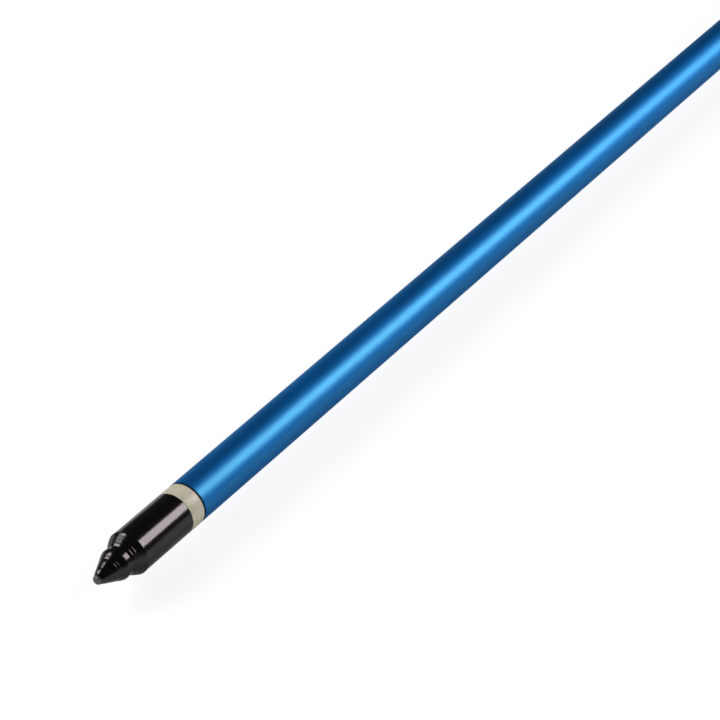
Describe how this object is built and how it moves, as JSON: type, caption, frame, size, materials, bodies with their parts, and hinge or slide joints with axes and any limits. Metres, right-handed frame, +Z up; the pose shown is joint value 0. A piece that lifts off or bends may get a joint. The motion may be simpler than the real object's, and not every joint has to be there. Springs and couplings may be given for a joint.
{
  "type": "telescopic boat hook",
  "caption": "Telescopic boat hook: aluminium tubes, pointed plastic butt, twist lock, and a blunt nose with one side hook that lies flat.",
  "frame": {"origin": "centre of the butt point's blunt end, on the pole's axis", "axes": "+X along the pole from the butt to the hook; +Z up, square to the flat hook; the hook opens on the +Y side"},
  "size_m": [1.066, 0.071, 0.038],
  "materials": {
    "blue_anodised": "satin",
    "clear_anodised": "satin",
    "gloss_black": "gloss",
    "black_nylon": "matte",
    "natural_nylon": "satin",
    "rubber": "matte",
    "stainless": "satin",
    "foam": "matte"
  },
  "bodies": {
    "handle": {"outer_tube": "blue_anodised", "butt_point": "gloss_black", "butt_insert": "natural_nylon", "butt_gasket": "rubber", "insert_o_ring": "rubber", "lock_body": "black_nylon"},
    "wedge": {"wedge_ring": "natural_nylon"},
    "nut": {"lock_nut": "black_nylon", "nut_stop_ring": "stainless", "nut_wiper": "rubber"},
    "bush": {"guide_bush": "natural_nylon"},
    "extension": {"inner_tube": "clear_anodised", "end_plug": "black_nylon", "plug_pin": "stainless", "plug_o_ring": "rubber", "rubber_buffer": "rubber", "foam_plug": "foam", "hook_head": "black_nylon", "head_rivet_upper": "stainless", "head_rivet_lower": "stainless", "head_seal": "rubber"}
  },
  "joints": [
    {"name": "nut_advance", "type": "slide", "parent": "handle", "child": "wedge", "axis": [1, 0, 0], "range_m": [0, 0.00375]},
    {"name": "nut_turn", "type": "hinge", "parent": "wedge", "child": "nut", "pos_m": [0.8685, 0, 0], "axis": [1, 0, 0], "range_deg": [0, 270]},
    {"name": "telescope", "type": "slide", "parent": "handle", "child": "bush", "axis": [1, 0, 0], "range_m": [0, 0.608]},
    {"name": "head_swivel", "type": "hinge", "parent": "bush", "child": "extension", "pos_m": [0.1367, 0, 0], "axis": [1, 0, 0], "continuous": true}
  ],
  "couplings": [
    {"joint": "nut_advance", "follows": "nut_turn", "m_per_rad": 0.00079577}
  ]
}
